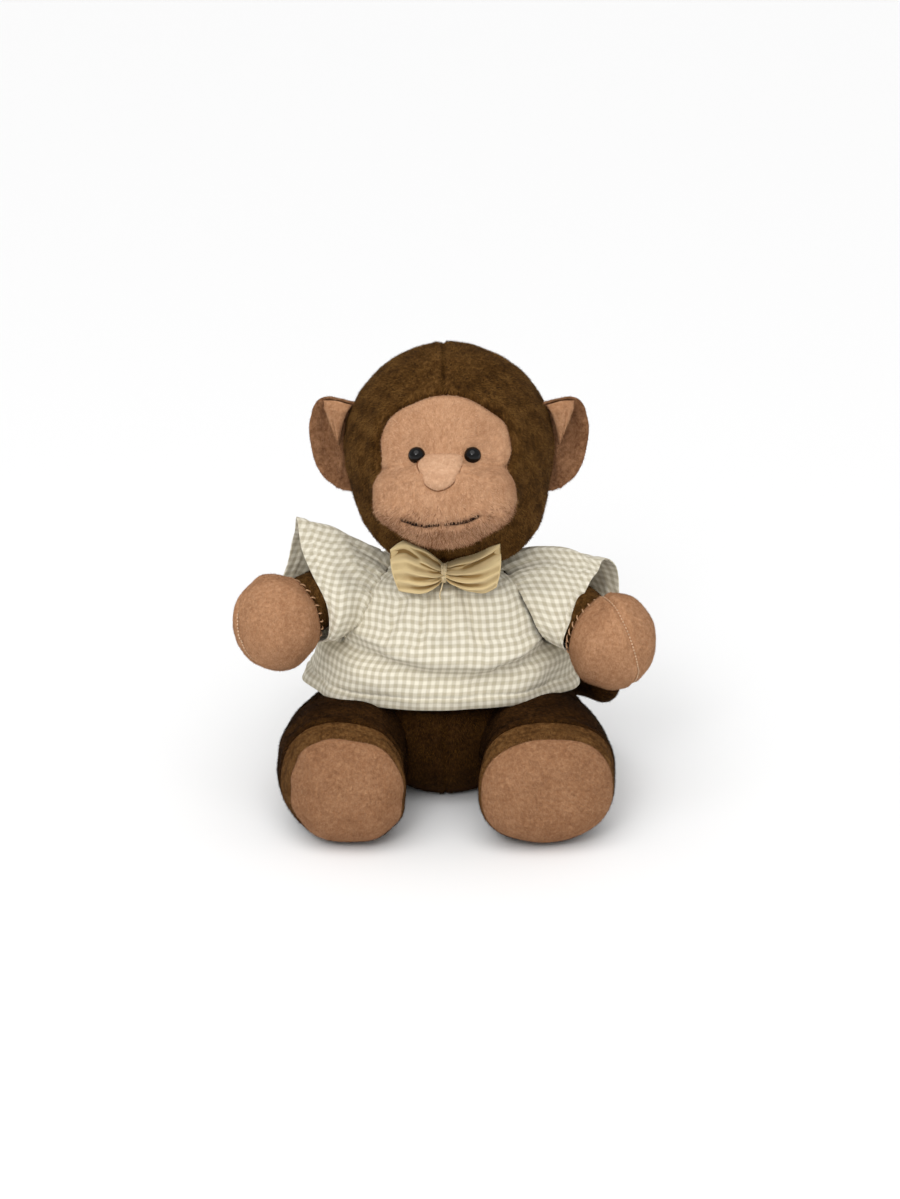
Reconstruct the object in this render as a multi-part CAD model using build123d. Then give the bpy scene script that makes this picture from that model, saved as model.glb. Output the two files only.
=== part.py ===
from build123d import *
import os

os.makedirs("parts", exist_ok=True)

# A seated plush monkey in a short-sleeved shirt and a bow tie, in millimetres.
# It faces -Y and sits on z = 0. "left" is the side with negative x, which is on
# the left for somebody who stands in front of it.

# Cloth and clearances
SKIN = 2.0             # plush cloth with its backing and part of its pile
COTTON = 1.2           # shirt cloth with its seam turnings
GAP = 0.4              # clear space between parts that move on each other

# Torso
TORSO_AXIS = (0, 14)
BELLY_R = 47.0
BELLY_Z = 41.5
CHEST_R = 26.0
CHEST_Z = 100.0
SEAT_THICK = 2.0
BEAN_BAG_CENTRE = (0, 18, 16)
BEAN_BAG_R = 20.0
BEAN_BAG_TALL = 16.0

# Head
HEAD_CENTRE = (2, 6, 180)
HEAD_R = 51.0
MUZZLE_CENTRE = (0, -36, 167.5)
MUZZLE_R = 23.5
MUZZLE_SPREAD = 21.0   # between the centres of its two round ends
NECK_PIVOT = (1, 8, 124)
NECK_BALL_R = 17.0
NECK_SEAM_R = 20.5
NECK_SEAM_Z = 126.2
THREAD_R = 0.7

# Face
EYE_X = 13.0
EYE_Z = 190.0
EYE_SEAT_Y = -43.2     # centre of the eye's round front
EYE_R = 4.0
SHANK_R = 1.4
SHANK_LENGTH = 12.0
WASHER_R = 6.0
WASHER_THICK = 1.6
NOSE_RISE = 4.0
BROW_SEAM_Z = 184.0
MOUTH_THREAD = 1.3

# Ears
EAR_ROOT = (49, 5, 183)   # x is measured from the middle of the head
EAR_SWEEP = 22.0       # degrees that each ear leans back
EAR_R = 23.5           # radius of its rim
EAR_CUP_R = 30.0       # radius of the sphere that its cup is part of
EAR_CLEAR = 3.0
EAR_LAYER = 1.6

# Arms: shoulder pivot, then the centre of the round hand
SHOULDER = (41, 12, 113)
HANDS = {"left": (-81.5, -30, 102), "right": (81.5, -30, 92)}
ARM_ROOT_R = 15.5
WRIST_R = 15.0
HAND_R = 21.7
CUFF_TO_HAND = 15.0    # from the seam between arm and hand to the hand's centre
ARM_LOWERS = -10.0     # degrees
ARM_RAISES = 45.0
WHIP_STITCHES = 12
WHIP_R = 0.5
WHIP_LENGTH = 4.5
WHIP_SLOPE = 30.0      # degrees, from the arm up on to the hand

# Legs: hip pivot, then the centre of the round foot
HIP = (42, -2, 29)
FOOT = (47, -52, 30.5)
HIP_R = 26.0
FOOT_R = 30.5
THIGH_END_R = 30.2
SOLE_LINE = 66.0       # the sole seam, measured from the hip
INSTEP_LINE = 55.0     # start of the paler band over the instep
LEG_TURNS_IN = -6.0    # degrees
LEG_TURNS_OUT = 20.0

# Shirt, as part of a large ellipsoid from the neck down to the hem
SHIRT_CENTRE = (0, 13, 50)
SHIRT_R = (66.5, 54, 81)
SHIRT_HEM_Z = 58.5
SIDE_SEAM_Y = 12.0
BACK_OPENING = 0.3     # half the gap between the two back panels
ARMHOLE_R = 18.5
NECKBAND_R = 24.0
NECKBAND_Z = 124.8
NECKBAND_TALL = 5.0
NECKBAND_TILT = 7.0    # lower in front
SLEEVE_START = 16.5
SLEEVE_LENGTH = 26.0
SLEEVE_ROOT_R = 22.0
SLEEVE_CUFF_R = 27.5
TAPE_HALF_WIDTH = 5.0
TAPE_THICK = 0.8
TAPE_FROM_Z = 78.0
TAPE_TO_Z = 108.0

# Bow tie
BOW_CENTRE = (-0.5, -31, 131)
BOW_HALF_WIDTH = 28.5
BOW_TALL = 22.0
BOW_WAIST = 11.0
BOW_DEPTH = 6.0

# Tail: an arc that lies behind the hips and curls round to the right
TAIL_BASE = (20, 52, 24)
TAIL_MIDDLE = (53, 58, 35)
TAIL_TIP = (76, 33, 43)
TAIL_R = 8.0
TAIL_ROOT_R = 9.0
TAIL_SWINGS = 12.0     # degrees each way

FAR = 1000.0
SEAM_TURN = 110.0      # turns each round surface's own seam line to the rear


# ---------------------------------------------------------------- shapes

def ellipsoid(centre, radii, grow=0.0):
    """An ellipsoid with each of its radii grown by the same amount."""
    sizes = tuple(r + grow for r in radii)
    return Pos(*centre) * scale(Sphere(1), by=sizes)


def ball(centre, radius):
    return Pos(*centre) * Rot(0, 0, SEAM_TURN) * Sphere(radius)


def half_space(axis, value, side):
    """A large box that fills one side of the plane where that axis has the value."""
    shift = [0.0, 0.0, 0.0]
    shift[axis] = value + side * FAR / 2
    return Pos(*shift) * Box(FAR, FAR, FAR)


def prism_along_y(outline, y_front, y_back):
    """Push a closed outline in the XZ plane through from y_front to y_back."""
    face = make_face(outline)
    return Pos(0, y_back, 0) * extrude(face, amount=y_back - y_front, dir=(0, -1, 0))


def closed_curve_xz(points):
    return Spline([(x, 0, z) for x, z in points], periodic=True)


def along(start, end):
    """The frame at start whose z axis points at end."""
    direction = Vector(*end) - Vector(*start)
    return Plane(origin=start, x_dir=(0, 0, 1), z_dir=direction).location


def length_between(start, end):
    return (Vector(*end) - Vector(*start)).length


def mirrored_x(point, side):
    return (side * point[0], point[1], point[2])


# ---------------------------------------------------------------- head

def face_outline():
    """The tan face: a rounded brow above, a waist beside the eyes, full cheeks."""
    right = [(17.5, 211.5), (29, 202), (31.5, 192), (29.5, 181), (34, 169), (27, 154)]
    left = [(-x, z) for x, z in reversed(right)]
    return closed_curve_xz([(0, 216)] + right + [(12, 143), (-12, 143)] + left)


def nose_outline():
    """Nearly flat across the top and tapering down to a rounded tip."""
    return closed_curve_xz([(-9.5, 190.5), (6.5, 190.5), (8, 187), (3, 178.5), (-2, 176), (-7, 178.5), (-12, 187)])


def muzzle_solid(grow):
    """A fat bar with round ends, lying across the front of the head."""
    x, y, z = MUZZLE_CENTRE
    bar = Pos(x, y, z) * Rot(0, 90, 0) * Cylinder(MUZZLE_R + grow, MUZZLE_SPREAD)
    for side in (-1, 1):
        bar += ball((x + side * MUZZLE_SPREAD / 2, y, z), MUZZLE_R + grow)
    return bar


def head_solid(grow):
    return ball(HEAD_CENTRE, HEAD_R + grow) + muzzle_solid(grow)


def eye_solid(side):
    """A round-fronted plastic eye on a ribbed shank."""
    front = Pos(side * EYE_X, EYE_SEAT_Y, EYE_Z) * Sphere(EYE_R)
    front = front & half_space(1, EYE_SEAT_Y + 1.0, -1)
    shank = Pos(side * EYE_X, EYE_SEAT_Y + SHANK_LENGTH / 2, EYE_Z) * Rot(90, 0, 0)
    return front + shank * Cylinder(SHANK_R, SHANK_LENGTH)


def eye_washer_solid(side):
    """The locking washer that grips the shank inside the head."""
    place = Pos(side * EYE_X, EYE_SEAT_Y + SHANK_LENGTH - 3, EYE_Z) * Rot(90, 0, 0)
    return place * (Cylinder(WASHER_R, WASHER_THICK) - Cylinder(SHANK_R, WASHER_THICK))


def eye_bore(side):
    """The room that the shank and the washer take out of the stuffing."""
    rear_y = EYE_SEAT_Y + SHANK_LENGTH
    return Pos(side * EYE_X, rear_y - 8, EYE_Z) * Rot(90, 0, 0) * Cylinder(WASHER_R, 16)


def mouth_rows():
    """Two rows of embroidery that meet in a low point under the nose."""
    left = Pos(-11.5, -60, 161.2) * Rot(0, 5, 0) * Box(18, 60, MOUTH_THREAD)
    right = Pos(8.5, -60, 162.4) * Rot(0, -15, 0) * Box(14, 60, MOUTH_THREAD)
    return left + right


def head_parts():
    outer = head_solid(0)
    inner = head_solid(-SKIN)
    skin = outer - inner
    face_region = prism_along_y(face_outline(), -90, -8) + muzzle_solid(0.5)
    brown = (skin - face_region) + (ball(NECK_PIVOT, NECK_BALL_R) - inner)
    face = skin & face_region
    eyes = {"left": eye_solid(-1), "right": eye_solid(1)}
    washers = {"left": eye_washer_solid(-1), "right": eye_washer_solid(1)}
    bores = eye_bore(-1) + eye_bore(1)
    nose_region = prism_along_y(nose_outline(), -90, -20)
    rows = mouth_rows()

    face = face - eyes["left"] - eyes["right"]
    brow = face & half_space(2, BROW_SEAM_Z, 1)
    muzzle = face & half_space(2, BROW_SEAM_Z, -1)
    parts = {
        "head_skin_left": brown & half_space(0, HEAD_CENTRE[0], -1),
        "head_skin_right": brown & half_space(0, HEAD_CENTRE[0], 1),
        "face_panel": brow,
        "muzzle_panel": muzzle - rows,
        "mouth_stitching": muzzle & rows,
        "nose_pad": ((head_solid(NOSE_RISE) - outer) & nose_region) - eyes["left"] - eyes["right"],
        "head_stuffing": inner - bores,
    }
    for name in ("left", "right"):
        parts[f"eye_{name}"] = eyes[name]
        parts[f"eye_washer_{name}"] = washers[name]
    return parts


def neck_parts():
    """The ring of strong thread that draws the head's neck edge down on the torso."""
    return {"neck_seam": Pos(NECK_PIVOT[0], NECK_PIVOT[1], NECK_SEAM_Z) * Torus(NECK_SEAM_R, THREAD_R)}


def ear_parts(name, side):
    """Two layers of plush sewn together as a shallow cup, swept back from the head."""
    root = (HEAD_CENTRE[0] + side * EAR_ROOT[0], EAR_ROOT[1], EAR_ROOT[2])
    place = Pos(*root) * Rot(0, 0, side * EAR_SWEEP)
    rim_y = -((EAR_CUP_R ** 2 - EAR_R ** 2) ** 0.5)
    spheres = [place * Pos(0, rim_y, 0) * Sphere(EAR_CUP_R - EAR_LAYER * i) for i in range(3)]
    front_side = place * half_space(1, 0, -1)
    head = ball(HEAD_CENTRE, HEAD_R + EAR_CLEAR)
    inward = half_space(0, HEAD_CENTRE[0], -side)
    return {
        f"ear_{name}_back": (((spheres[0] - front_side) - spheres[1]) - head) - inward,
        f"ear_{name}_front": (((spheres[1] - front_side) - spheres[2]) - head) - inward,
    }


# ---------------------------------------------------------------- limbs

def arm_solid(reach, grow):
    """A ball at the shoulder, a nearly straight arm and a round hand, along +Z."""
    run = Pos(0, 0, reach / 2) * Cone(ARM_ROOT_R + grow, WRIST_R + grow, reach)
    return Sphere(ARM_ROOT_R + grow) + run + Pos(0, 0, reach) * Sphere(HAND_R + grow)


def whip_stitches(reach):
    """Short slanted stitches across the seam between the arm and the hand."""
    radius = (HAND_R ** 2 - CUFF_TO_HAND ** 2) ** 0.5 + 2 * WHIP_R
    stitch = Pos(radius, 0, reach - CUFF_TO_HAND) * Rot(0, WHIP_SLOPE, 0) * Cylinder(WHIP_R, WHIP_LENGTH)
    turns = [Rot(0, 0, 360 / WHIP_STITCHES * i) for i in range(WHIP_STITCHES)]
    return Compound(children=[turn * stitch for turn in turns])


def arm_parts(name, side):
    pivot = mirrored_x(SHOULDER, side)
    hand = HANDS[name]
    reach = length_between(pivot, hand)
    place = along(pivot, hand)
    skin = arm_solid(reach, 0) - arm_solid(reach, -SKIN)
    hand_side = half_space(2, reach - CUFF_TO_HAND, 1)
    tan = skin & hand_side
    return {
        f"arm_{name}_skin": place * (skin - hand_side),
        f"hand_{name}_palm": place * (tan & half_space(1, 0, -1)),
        f"hand_{name}_back": place * (tan & half_space(1, 0, 1)),
        f"arm_{name}_stuffing": place * arm_solid(reach, -SKIN),
        f"wrist_{name}_stitches": place * whip_stitches(reach),
    }


def leg_solid(reach, grow):
    """A ball at the hip, a thigh that widens forwards and a round foot, along +Z."""
    run = Pos(0, 0, reach / 2) * Cone(HIP_R + grow, THIGH_END_R + grow, reach)
    return Sphere(HIP_R + grow) + run + Pos(0, 0, reach) * Sphere(FOOT_R + grow)


def leg_parts(name, side):
    hip = mirrored_x(HIP, side)
    foot = mirrored_x(FOOT, side)
    reach = length_between(hip, foot)
    place = along(hip, foot)
    skin = leg_solid(reach, 0) - leg_solid(reach, -SKIN)
    sole_side = half_space(2, SOLE_LINE, 1)
    instep_side = half_space(2, INSTEP_LINE, 1) & half_space(0, 0, 1)
    upper = skin - sole_side
    return {
        f"leg_{name}_upper": place * (upper - instep_side),
        f"leg_{name}_instep": place * (upper & instep_side),
        f"leg_{name}_sole": place * (skin & sole_side),
        f"leg_{name}_stuffing": place * leg_solid(reach, -SKIN),
    }


# ---------------------------------------------------------------- tail

def tail_solid(grow):
    bend = ThreePointArc(TAIL_BASE, TAIL_MIDDLE, TAIL_TIP)
    start = Plane(origin=bend @ 0, z_dir=bend % 0)
    tube = sweep(start * Circle(TAIL_R + grow), path=bend)
    return tube + ball(TAIL_TIP, TAIL_R + grow) + ball(TAIL_BASE, TAIL_ROOT_R + grow)


def tail_parts():
    return {"tail_skin": tail_solid(0) - tail_solid(-SKIN), "tail_stuffing": tail_solid(-SKIN)}


# ---------------------------------------------------------------- torso

def thigh_sweep(side):
    """The room that a thigh needs as it turns in and out about the hip."""
    hip = mirrored_x(HIP, side)
    foot = mirrored_x(FOOT, side)
    reach = length_between(hip, foot)
    thigh = Pos(0, 0, reach / 2) * Cone(HIP_R + 2 * GAP, THIGH_END_R + 2 * GAP, reach)
    placed = along((0, 0, 0), Vector(*foot) - Vector(*hip)) * thigh
    room = ball(hip, HIP_R + GAP)
    for turn in (LEG_TURNS_IN, 0, LEG_TURNS_OUT / 2, LEG_TURNS_OUT):
        room += Pos(*hip) * Rot(0, 0, side * turn) * placed
    return room


def arm_sweep(name, side, radius, length, turns):
    """The room that an upper arm needs as it is raised and lowered."""
    pivot = mirrored_x(SHOULDER, side)
    reach = Vector(*HANDS[name]) - Vector(*pivot)
    across = Axis((0, 0, 0), reach.cross(Vector(0, 0, 1)))
    run = Pos(0, 0, length / 2) * Cylinder(radius, length)
    placed = along((0, 0, 0), reach) * run
    room = ball(pivot, radius)
    for turn in turns:
        room += Pos(*pivot) * placed.rotate(across, turn)
    return room


def joint_sockets():
    """The hollows that the moving limbs, head and tail turn in."""
    hollows = ball(NECK_PIVOT, NECK_BALL_R + GAP)
    tail = Pos(*TAIL_BASE).inverse() * tail_solid(GAP)
    for turn in (-TAIL_SWINGS, 0, TAIL_SWINGS):
        hollows += Pos(*TAIL_BASE) * Rot(0, 0, turn) * tail
    for name, side in (("left", -1), ("right", 1)):
        hollows += arm_sweep(name, side, ARM_ROOT_R + GAP, 30, (ARM_LOWERS, 0, ARM_RAISES / 2, ARM_RAISES))
        hollows += thigh_sweep(side)
    return hollows


def torso_solid(grow):
    """A round belly and a smaller round chest, joined by their common cone."""
    belly = BELLY_R + grow
    chest = CHEST_R + grow
    slope = (belly - chest) / (CHEST_Z - BELLY_Z)
    flat = (1 - slope ** 2) ** 0.5
    low = Vector(belly * flat, 0, BELLY_Z + belly * slope)
    high = Vector(chest * flat, 0, CHEST_Z + chest * slope)
    bottom = Vector(0, 0, BELLY_Z - belly)
    top = Vector(0, 0, CHEST_Z + chest)
    lower_arc = ThreePointArc(bottom, (belly, 0, BELLY_Z), low)
    turn = 45.0
    shoulder = Vector(chest, 0, 0).rotate(Axis.Y, -turn) + Vector(0, 0, CHEST_Z)
    upper_arc = ThreePointArc(high, shoulder, top)
    profile = make_face([lower_arc, Line(low, high), upper_arc, Line(top, bottom)])
    return Pos(*TORSO_AXIS, 0) * Rot(0, 0, SEAM_TURN) * revolve(profile, Axis.Z)


def torso_parts():
    above_floor = half_space(2, 0, 1)
    hollows = joint_sockets()
    outer = (torso_solid(0) & above_floor) - hollows
    seat = outer & half_space(2, SEAT_THICK, -1)
    inner = (torso_solid(-SKIN) & half_space(2, SEAT_THICK, 1)) - hollows
    skin = (outer - seat) - inner
    beans = Pos(*BEAN_BAG_CENTRE) * Cylinder(BEAN_BAG_R, BEAN_BAG_TALL)
    return {
        "torso_skin_left": skin & half_space(0, 0, -1),
        "torso_skin_right": skin & half_space(0, 0, 1),
        "seat_panel": seat,
        "torso_stuffing": inner - beans,
        "bean_bag": beans,
    }


# ---------------------------------------------------------------- shirt

def shirt_lump(grow):
    return ellipsoid(SHIRT_CENTRE, SHIRT_R, grow)


def neck_ring(radius, height):
    """A round plug about the neck, tilted so that it is lower in front."""
    place = Pos(NECK_PIVOT[0], NECK_PIVOT[1], NECKBAND_Z) * Rot(NECKBAND_TILT, 0, 0)
    return place * Cylinder(radius, height)


def sleeve_cone(name, side, grow):
    """A sleeve that flares from the shoulder to its open cuff."""
    place = along(mirrored_x(SHOULDER, side), HANDS[name])
    middle = SLEEVE_START + SLEEVE_LENGTH / 2
    return place * Pos(0, 0, middle) * Cone(SLEEVE_ROOT_R + grow, SLEEVE_CUFF_R + grow, SLEEVE_LENGTH)


def armhole(name, side):
    """An opening that the upper arm passes through, with room to be lowered."""
    hole = arm_sweep(name, side, ARMHOLE_R, 60, (0,))
    return hole + arm_sweep(name, side, ARM_ROOT_R + 2 * GAP, 60, (ARM_LOWERS,))


def shirt_parts():
    trimmed = half_space(2, SHIRT_HEM_Z, 1) - neck_ring(NECKBAND_R, 60)
    shell = (shirt_lump(0) - shirt_lump(-COTTON)) & trimmed
    for name, side in (("left", -1), ("right", 1)):
        shell -= armhole(name, side)
    back = shell & half_space(1, SIDE_SEAM_Y, 1)
    parts = {
        "shirt_front": shell & half_space(1, SIDE_SEAM_Y, -1),
        "shirt_back_left": back & half_space(0, -BACK_OPENING, -1),
        "shirt_back_right": back & half_space(0, BACK_OPENING, 1),
        "shirt_neckband": neck_ring(NECKBAND_R, NECKBAND_TALL) - neck_ring(NECKBAND_R - 2 * COTTON, 60),
    }
    for name, side in (("left", -1), ("right", 1)):
        tube = sleeve_cone(name, side, 0) - sleeve_cone(name, side, -COTTON)
        parts[f"sleeve_{name}"] = tube - shirt_lump(0)
    return parts


def tape_parts():
    """Hook and loop tapes, face to face inside the shirt's back opening."""
    strip = Pos(0, FAR / 2 + SIDE_SEAM_Y, (TAPE_FROM_Z + TAPE_TO_Z) / 2)
    strip = strip * Box(2 * TAPE_HALF_WIDTH, FAR, TAPE_TO_Z - TAPE_FROM_Z)
    layers = [shirt_lump(-COTTON - TAPE_THICK * i) & strip for i in range(3)]
    return {
        "closure_loop_tape": layers[0] - layers[1],
        "closure_hook_tape": layers[1] - layers[2],
    }


# ---------------------------------------------------------------- bow tie

def bow_solid():
    """A strip of cotton drawn in at the middle, so that two lobes stand out."""
    half = BOW_HALF_WIDTH
    tall = BOW_TALL / 2
    waist = BOW_WAIST / 2
    front = Polyline((0, waist), (half * 0.8, tall), (half, tall * 0.7), (half * 0.9, -tall),
                     (half * 0.5, -tall), (0, -waist), (-half * 0.5, -tall), (-half * 0.9, -tall),
                     (-half, tall * 0.7), (-half * 0.8, tall), close=True)
    lobes = extrude(Plane.XZ * make_face(front), amount=BOW_DEPTH / 2, both=True)
    return Pos(*BOW_CENTRE) * lobes


def bow_parts():
    """The bow, and the thread wound round its middle that holds it to the shirt."""
    wrap = Box(THREAD_R * 4, BOW_DEPTH + THREAD_R * 2, BOW_WAIST + THREAD_R * 2)
    bow = bow_solid()
    wound = (Pos(*BOW_CENTRE) * wrap) - bow
    return {"bow_tie_fabric": bow, "bow_tie_thread": wound}


# ---------------------------------------------------------------- output

def all_parts():
    parts = {}
    parts.update(head_parts())
    parts.update(neck_parts())
    parts.update(torso_parts())
    parts.update(shirt_parts())
    parts.update(tape_parts())
    parts.update(bow_parts())
    parts.update(tail_parts())
    for name, side in (("left", -1), ("right", 1)):
        parts.update(ear_parts(name, side))
        parts.update(arm_parts(name, side))
        parts.update(leg_parts(name, side))
    return parts


def write(name, shape):
    solids = shape.solids()
    result = solids[0] if len(solids) == 1 else Compound(children=list(solids))
    export_step(result, f"parts/{name}.step")
    print(name, len(solids), round(shape.volume))


if __name__ == "__main__":
    for part_name, part_shape in all_parts().items():
        write(part_name, part_shape)
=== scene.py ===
import math
import bmesh
import bpy
import numpy as np
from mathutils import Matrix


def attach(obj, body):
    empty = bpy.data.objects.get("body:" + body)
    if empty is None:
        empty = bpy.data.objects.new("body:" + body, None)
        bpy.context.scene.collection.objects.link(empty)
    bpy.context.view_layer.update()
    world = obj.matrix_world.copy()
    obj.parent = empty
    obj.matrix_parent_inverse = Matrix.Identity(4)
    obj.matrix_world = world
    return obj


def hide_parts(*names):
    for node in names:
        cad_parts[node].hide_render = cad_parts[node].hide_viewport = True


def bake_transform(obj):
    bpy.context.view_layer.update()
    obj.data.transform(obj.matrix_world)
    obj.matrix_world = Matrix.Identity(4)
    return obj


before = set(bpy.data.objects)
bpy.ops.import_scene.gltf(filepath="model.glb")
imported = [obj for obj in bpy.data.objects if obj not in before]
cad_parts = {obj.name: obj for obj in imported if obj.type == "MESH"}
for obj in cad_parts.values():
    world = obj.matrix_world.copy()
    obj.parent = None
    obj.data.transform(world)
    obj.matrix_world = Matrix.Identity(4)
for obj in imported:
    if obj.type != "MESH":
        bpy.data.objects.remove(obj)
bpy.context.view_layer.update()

# Looks of a seated plush monkey. Shapes are worked out in millimetres in the
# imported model's frame: it faces -Y, +Z is up, and "left" is the side with
# negative x. Meshes are scaled to metres when they are made.

MM = 0.001
SIDES = (("left", -1), ("right", 1))


# ---------------------------------------------------------------- numbers

def smooth(x, start, end):
    t = np.clip((x - start) / (end - start), 0, 1)
    return t * t * (3 - 2 * t)


def bump(x, width):
    return np.exp(-(x / width) ** 2)


def unit(v):
    return v / np.maximum(np.linalg.norm(v, axis=-1, keepdims=True), 1e-9)


def spline(points, t, closed=False):
    """Catmull-Rom curve through the points, at t from 0 to 1."""
    pts = np.asarray(points, float)
    count = len(pts)
    t = np.asarray(t, float)
    if closed:
        t = (t % 1.0) * count
        i = np.floor(t).astype(int)
        near = [(i + k) % count for k in (-1, 0, 1, 2)]
    else:
        t = np.clip(t, 0, 1) * (count - 1)
        i = np.minimum(np.floor(t).astype(int), count - 2)
        near = [np.clip(i + k, 0, count - 1) for k in (-1, 0, 1, 2)]
    f = (t - i)[..., None]
    a, b, c, d = (pts[k] for k in near)
    square, cube = 2 * a - 5 * b + 4 * c - d, 3 * b - a - 3 * c + d
    return 0.5 * (2 * b + (c - a) * f + square * f ** 2 + cube * f ** 3)


def line_distance(p, line):
    """Distance from each point to a polyline, in as many dimensions as they have."""
    line = np.asarray(line, float)
    best = np.full(p.shape[:-1], 1e9)
    for a, b in zip(line[:-1], line[1:]):
        d = b - a
        t = np.clip(((p - a) @ d) / (d @ d), 0, 1)
        best = np.minimum(best, np.linalg.norm(p - (a + t[..., None] * d), axis=-1))
    return best


def ripple(p, size, seed, waves=7):
    """Smooth, seeded unevenness from about -1 to 1, with features of that size in mm."""
    rng = np.random.default_rng(seed)
    total = np.zeros(p.shape[:-1])
    for _ in range(waves):
        direction = unit(rng.normal(size=p.shape[-1]))
        wave = 2 * math.pi / (size * rng.uniform(0.8, 2.2))
        total += np.sin(p @ direction * wave + rng.uniform(0, 6.28))
    return total / math.sqrt(waves)


def turns(cols):
    """Even turns about an axis, once round."""
    return np.linspace(0, 2 * math.pi, cols, endpoint=False)


def frame_along(start, end):
    """Origin, axes and length: z towards end, x as near to upright as it can be."""
    start, end = np.asarray(start, float), np.asarray(end, float)
    z = unit(end - start)
    x = unit(np.array((0, 0, 1.0)) - z[2] * z)
    return start, np.array((x, np.cross(z, x), z)), float(np.linalg.norm(end - start))


# ---------------------------------------------------------------- meshes

def mesh_object(name, verts, faces, uv=None):
    """A smooth mesh from points in mm. uv is one pair in mm for each vertex."""
    mesh = bpy.data.meshes.new(name)
    mesh.from_pydata((np.asarray(verts) * MM).tolist(), [], faces)
    mesh.polygons.foreach_set("use_smooth", [True] * len(mesh.polygons))
    if uv is not None:
        corner = np.empty(len(mesh.loops), int)
        mesh.loops.foreach_get("vertex_index", corner)
        layer = mesh.uv_layers.new(name="cloth")
        layer.uv.foreach_set("vector", np.asarray(uv)[corner].astype(np.float32).ravel())
    mesh.update()
    obj = bpy.data.objects.new(name, mesh)
    bpy.context.scene.collection.objects.link(obj)
    return obj


def grid_faces(rows, cols, wrap, first=0):
    """Quads of a grid of vertices; wrap joins the last column to the first."""
    i, j = np.meshgrid(np.arange(rows - 1), np.arange(cols if wrap else cols - 1), indexing="ij")
    k = (j + 1) % cols
    quads = np.stack([i * cols + j, i * cols + k, (i + 1) * cols + k, (i + 1) * cols + j], -1)
    return (quads.reshape(-1, 4) + first).tolist()


def grid_object(name, grid, wrap=False, tip_first=False, tip_last=False, outward=True, uv=None):
    """A surface from rows of points. A tip closes the first or last row with a fan.
    outward turns the faces away from the grid's middle."""
    rows, cols = grid.shape[:2]
    verts = grid.reshape(-1, 3)
    faces = grid_faces(rows, cols, wrap)
    tips = []
    if tip_first:
        tips.append((0, grid[0].mean(0)))
    if tip_last:
        tips.append((rows - 1, grid[-1].mean(0)))
    for row, tip in tips:
        verts = np.vstack([verts, tip])
        ring = row * cols + np.arange(cols)
        after = np.roll(ring, -1)
        pair = (after, ring) if row == 0 else (ring, after)
        faces += [(int(a), int(b), len(verts) - 1) for a, b in zip(*pair)]
    obj = mesh_object(name, verts, faces, uv)
    middle = verts.mean(0) * MM
    mesh = obj.data
    normal = np.empty(len(mesh.polygons) * 3)
    centre = np.empty(len(mesh.polygons) * 3)
    mesh.polygons.foreach_get("normal", normal)
    mesh.polygons.foreach_get("center", centre)
    facing = (normal.reshape(-1, 3) * (centre.reshape(-1, 3) - middle)).sum()
    if (facing < 0) == outward:
        mesh.flip_normals()
    return obj


def tube_object(name, paths, radius, sides=6):
    """Round threads along paths, each a row of points in mm, joined in one mesh."""
    verts, faces = [], []
    turn = turns(sides)
    for path in paths:
        path = np.asarray(path, float)
        along = unit(np.gradient(path, axis=0))
        side = unit(np.cross(along, np.array((0.31, 0.52, 0.79))))
        up = np.cross(along, side)
        thin = np.ones(len(path))
        thin[[0, -1]] = 0.35
        ring = side[:, None] * np.cos(turn)[None, :, None] + up[:, None] * np.sin(turn)[None, :, None]
        rings = path[:, None] + radius * thin[:, None, None] * ring
        first = sum(len(v) for v in verts)
        faces += grid_faces(len(path), sides, True, first)
        faces.append([first + k for k in range(sides)][::-1])
        faces.append([first + (len(path) - 1) * sides + k for k in range(sides)])
        verts.append(rings.reshape(-1, 3))
    return mesh_object(name, np.vstack(verts), faces)


# ---------------------------------------------------------------- materials

def paint(r, g, b):
    """Linear colour from one as a screen shows it."""
    return tuple(((c / 255 + 0.055) / 1.055) ** 2.4 if c > 10 else c / 3295 for c in (r, g, b)) + (1.0,)


def shader(name, rough, sheen=0.0):
    mat = bpy.data.materials.new(name)
    mat.use_nodes = True
    body = mat.node_tree.nodes["Principled BSDF"]
    body.inputs["Roughness"].default_value = rough
    body.inputs["Sheen Weight"].default_value = sheen
    body.inputs["Sheen Roughness"].default_value = 0.5
    body.inputs["Specular IOR Level"].default_value = 0.05
    return mat, mat.node_tree, body


def add(tree, kind, **inputs):
    node = tree.nodes.new(kind)
    for key, value in inputs.items():
        node.inputs[key.replace("_", " ")].default_value = value
    return node


def noise(tree, source, scale, detail=3.0, stretch=(1, 1, 1)):
    mapping = tree.nodes.new("ShaderNodeMapping")
    mapping.inputs["Scale"].default_value = stretch
    tree.links.new(source, mapping.inputs["Vector"])
    node = add(tree, "ShaderNodeTexNoise", Scale=scale, Detail=detail, Roughness=0.6)
    tree.links.new(mapping.outputs["Vector"], node.inputs["Vector"])
    return node.outputs["Fac"]


def ramp(tree, fac, stops):
    node = tree.nodes.new("ShaderNodeValToRGB")
    points = node.color_ramp.elements
    while len(points) < len(stops):
        points.new(0.5)
    for point, (place, colour) in zip(points, stops):
        point.position = place
        point.color = colour
    tree.links.new(fac, node.inputs["Fac"])
    return node.outputs["Color"]


def math_node(tree, operation, first, second):
    """A sum or product of a link with another link or with a number."""
    node = tree.nodes.new("ShaderNodeMath")
    node.operation = operation
    tree.links.new(first, node.inputs[0])
    if isinstance(second, float):
        node.inputs[1].default_value = second
    else:
        tree.links.new(second, node.inputs[1])
    return node.outputs[0]


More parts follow.
